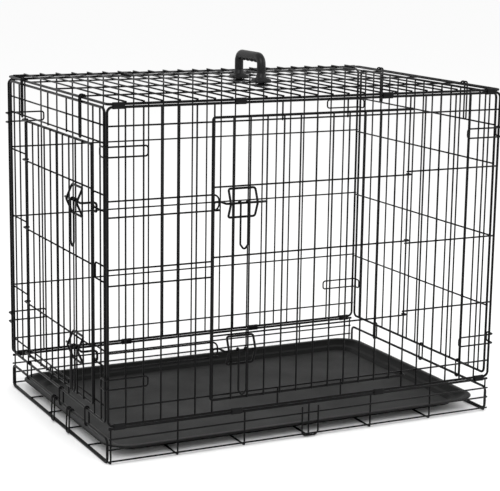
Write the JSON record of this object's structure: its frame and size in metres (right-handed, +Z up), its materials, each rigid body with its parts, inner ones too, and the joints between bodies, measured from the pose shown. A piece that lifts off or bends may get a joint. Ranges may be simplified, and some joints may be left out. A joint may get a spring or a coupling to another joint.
{
  "type": "wire dog crate",
  "caption": "Folding black wire crate for a dog, with a hinged door on the long side and one on the left end, slide-bolt latches, a pull-out plastic tray and a carry handle.",
  "frame": {"origin": "on the floor under the middle of the crate, halfway between the corner posts both ways", "axes": "+X along the crate towards the end without a door, +Y towards the back, +Z up"},
  "size_m": [0.7926, 0.5364, 0.6644],
  "materials": {
    "wire": "satin black enamel",
    "clip": "black crimped sheet",
    "tray": "textured black plastic",
    "handle": "black moulded plastic",
    "screw": "zinc plated"
  },
  "bodies": {
    "crate": {"back_corner_rings_lower": "wire", "back_corner_rings_upper": "wire", "back_foot_clips": "clip", "back_panel": "wire", "back_roof_clips": "clip", "base_back_upstand": "wire", "base_floor_grid": "wire", "base_front_upstand": "wire", "base_left_end_frame": "wire", "base_right_end_frame": "wire", "carry_handle": "handle", "carry_handle_plates": "handle", "carry_handle_screws": "screw", "front_corner_rings_lower": "wire", "front_corner_rings_upper": "wire", "front_foot_clips": "clip", "front_keeper_lower": "wire", "front_keeper_upper": "wire", "front_mid_tie": "wire", "front_pan_stop": "wire", "front_panel_header": "wire", "front_panel_left_bay": "wire", "front_panel_right_bay": "wire", "front_panel_sill": "wire", "front_roof_clips": "clip", "roof_panel": "wire"},
    "left_end": {"left_end_front_bay": "wire", "left_end_back_bay": "wire", "left_end_header": "wire", "left_end_sill": "wire", "left_keeper_upper": "wire", "left_keeper_lower": "wire", "left_mid_tie": "wire", "left_end_top_hooks": "wire", "left_end_hinge_loops": "wire"},
    "right_end": {"right_end_panel": "wire", "right_end_top_hooks": "wire", "right_end_hinge_loops": "wire"},
    "front_door": {"front_door": "wire", "front_upper_bracket": "wire", "front_lower_bracket": "wire"},
    "left_door": {"left_door": "wire", "left_upper_bracket": "wire", "left_lower_bracket": "wire"},
    "tray": {"tray": "tray"},
    "tray_hangers": {"tray_hangers": "wire"},
    "front_upper_bolt": {"front_upper_bolt": "wire"},
    "front_upper_pull": {"front_upper_pull": "wire"},
    "front_lower_bolt": {"front_lower_bolt": "wire"},
    "front_lower_pull": {"front_lower_pull": "wire"},
    "left_upper_bolt": {"left_upper_bolt": "wire"},
    "left_upper_pull": {"left_upper_pull": "wire"},
    "left_lower_bolt": {"left_lower_bolt": "wire"},
    "left_lower_pull": {"left_lower_pull": "wire"}
  },
  "joints": [
    {"name": "front_door_swing", "type": "hinge", "parent": "crate", "child": "front_door", "pos_m": [0.1905, -0.254, 0.334], "axis": [0, 0, 1], "range_deg": [0, 150]},
    {"name": "left_end_fold", "type": "hinge", "parent": "crate", "child": "left_end", "pos_m": [-0.381, 0, 0.044], "axis": [0, -1, 0], "range_deg": [-84, 0]},
    {"name": "right_end_fold", "type": "hinge", "parent": "crate", "child": "right_end", "pos_m": [0.381, 0, 0.044], "axis": [0, 1, 0], "range_deg": [-90, 0]},
    {"name": "left_door_swing", "type": "hinge", "parent": "left_end", "child": "left_door", "pos_m": [-0.381, 0.15875, 0.313], "axis": [0, 0, -1], "range_deg": [0, 150]},
    {"name": "front_upper_bolt_slide", "type": "slide", "parent": "front_door", "child": "front_upper_bolt", "axis": [1, 0, 0], "range_m": [0, 0.0115]},
    {"name": "front_upper_pull_turn", "type": "hinge", "parent": "front_upper_bolt", "child": "front_upper_pull", "pos_m": [-0.1425, -0.27, 0.433], "axis": [-1, 0, 0], "range_deg": [0, 110]},
    {"name": "left_upper_bolt_slide", "type": "slide", "parent": "left_door", "child": "left_upper_bolt", "axis": [0, 1, 0], "range_m": [0, 0.0115]},
    {"name": "left_upper_pull_turn", "type": "hinge", "parent": "left_upper_bolt", "child": "left_upper_pull", "pos_m": [-0.397, -0.1425, 0.433], "axis": [0, 1, 0], "range_deg": [0, 110]},
    {"name": "front_lower_bolt_slide", "type": "slide", "parent": "front_door", "child": "front_lower_bolt", "axis": [1, 0, 0], "range_m": [0, 0.0115]},
    {"name": "front_lower_pull_turn", "type": "hinge", "parent": "front_lower_bolt", "child": "front_lower_pull", "pos_m": [-0.1425, -0.27, 0.178], "axis": [-1, 0, 0], "range_deg": [0, 110]},
    {"name": "left_lower_bolt_slide", "type": "slide", "parent": "left_door", "child": "left_lower_bolt", "axis": [0, 1, 0], "range_m": [0, 0.0115]},
    {"name": "left_lower_pull_turn", "type": "hinge", "parent": "left_lower_bolt", "child": "left_lower_pull", "pos_m": [-0.397, -0.1425, 0.178], "axis": [0, 1, 0], "range_deg": [0, 110]},
    {"name": "tray_slide", "type": "slide", "parent": "crate", "child": "tray", "axis": [1, 0, 0], "range_m": [0, 0.7]},
    {"name": "tray_hanger_swing", "type": "hinge", "parent": "crate", "child": "tray_hangers", "pos_m": [-0.381, -0.0315, 0.044], "axis": [0, 1, 0], "range_deg": [0, 80]}
  ]
}
